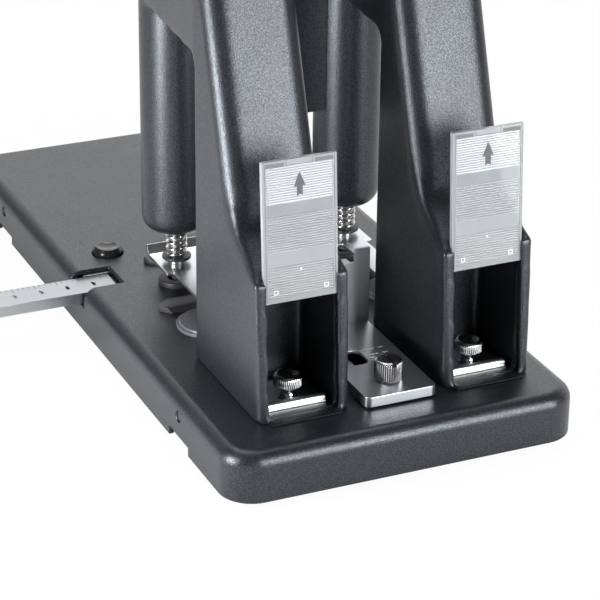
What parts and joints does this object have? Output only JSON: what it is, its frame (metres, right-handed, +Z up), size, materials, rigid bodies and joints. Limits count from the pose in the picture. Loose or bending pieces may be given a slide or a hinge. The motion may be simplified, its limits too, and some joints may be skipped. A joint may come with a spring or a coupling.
{
  "type": "two-hole punch",
  "caption": "Heavy-duty paper punch: twin cast towers on a long base, lever-driven hollow cutters, sliding depth stop, drawn-out side ruler and clear covers on rear chip bays.",
  "frame": {"origin": "on the desk, midway between the two towers and half-way along the base", "axes": "+Z up, front and paper side towards -Y, +X to the right of a user who faces the front"},
  "size_m": [0.247, 0.336, 0.3896],
  "materials": {
    "casting": "black powder coat",
    "sheet": "satin nickel",
    "steel": "ground",
    "chrome": "bright",
    "spring": "drawn wire",
    "plastic": "moulded",
    "gloss": "gloss",
    "clear": "clear moulded plastic",
    "rubber": "matt",
    "bronze": "turned",
    "scale": "printed"
  },
  "bodies": {
    "frame": {"base_shell": "casting", "bottom_tray": "plastic", "rubber_feet": "rubber", "right_tower": "casting", "left_tower": "casting", "tower_screws": "steel", "bridge_bar": "casting", "bridge_dowels": "steel", "right_head_cap": "plastic", "left_head_cap": "plastic", "shaft_bushes": "bronze", "shaft_end_caps": "plastic", "right_spring": "spring", "left_spring": "spring", "spring_washers": "plastic", "guide_bushes": "steel", "stripper_plate": "sheet", "plate_screws": "steel", "cutting_discs": "plastic", "support_bars": "plastic", "support_discs": "plastic", "right_bay_plate": "sheet", "left_bay_plate": "sheet", "bay_nuts": "steel", "margin_scale": "scale", "ruler_guide": "sheet", "button_spring": "spring", "button_seat": "sheet"},
    "handle": {"handle_shaft": "steel", "handle_hub": "casting", "handle_lever": "chrome", "handle_grip": "rubber", "hub_screw": "steel", "shaft_sleeves": "steel", "right_cam": "steel", "left_cam": "steel"},
    "right_punch": {"right_plunger": "steel", "right_pin": "steel", "right_pin_screw": "steel"},
    "left_punch": {"left_plunger": "steel", "left_pin": "steel", "left_pin_screw": "steel"},
    "right_window": {"right_cover": "clear"},
    "left_window": {"left_cover": "clear"},
    "right_thumbscrew": {"right_bay_screw": "chrome"},
    "left_thumbscrew": {"left_bay_screw": "chrome"},
    "stop": {"depth_stop": "sheet", "stop_stud": "steel"},
    "stop_knob": {"stop_thumb_nut": "steel"},
    "side_ruler": {"ruler": "sheet", "ruler_rail": "steel"},
    "button": {"ruler_button": "gloss"}
  },
  "joints": [
    {"name": "handle_swing", "type": "hinge", "parent": "frame", "child": "handle", "pos_m": [0, 0.01896, 0.1855], "axis": [1, 0, 0], "range_deg": [0, 46]},
    {"name": "right_stroke", "type": "slide", "parent": "frame", "child": "right_punch", "axis": [0, 0, -1], "range_m": [0, 0.008], "deforming": ["right_spring"]},
    {"name": "left_stroke", "type": "slide", "parent": "frame", "child": "left_punch", "axis": [0, 0, -1], "range_m": [0, 0.008], "deforming": ["left_spring"]},
    {"name": "right_cover_slide", "type": "slide", "parent": "frame", "child": "right_window", "axis": [0, -0.0654, 0.9979], "range_m": [-0.048, 0]},
    {"name": "left_cover_slide", "type": "slide", "parent": "frame", "child": "left_window", "axis": [0, -0.0654, 0.9979], "range_m": [-0.048, 0]},
    {"name": "right_screw_turn", "type": "hinge", "parent": "frame", "child": "right_thumbscrew", "pos_m": [0.04, 0.129, 0.0225], "axis": [0, 0, 1], "continuous": true},
    {"name": "left_screw_turn", "type": "hinge", "parent": "frame", "child": "left_thumbscrew", "pos_m": [-0.04, 0.129, 0.0225], "axis": [0, 0, 1], "continuous": true},
    {"name": "stop_slide", "type": "slide", "parent": "frame", "child": "stop", "axis": [0, -1, 0], "range_m": [0, 0.059]},
    {"name": "stop_screw_turn", "type": "hinge", "parent": "stop", "child": "stop_knob", "pos_m": [0, 0.137, 0.0225], "axis": [0, 0, 1], "continuous": true},
    {"name": "ruler_slide", "type": "slide", "parent": "frame", "child": "side_ruler", "axis": [1, 0, 0], "range_m": [-0.093, 0]},
    {"name": "button_press", "type": "slide", "parent": "frame", "child": "button", "axis": [0, 0, -1], "range_m": [0, 0.002], "stiffness_N_per_m": 400, "springref_m": -0.001, "deforming": ["button_spring"]}
  ],
  "couplings": [
    {"joint": "right_stroke", "follows": "handle_swing", "m_per_rad": 0.0099645},
    {"joint": "left_stroke", "follows": "handle_swing", "m_per_rad": 0.0099645}
  ]
}
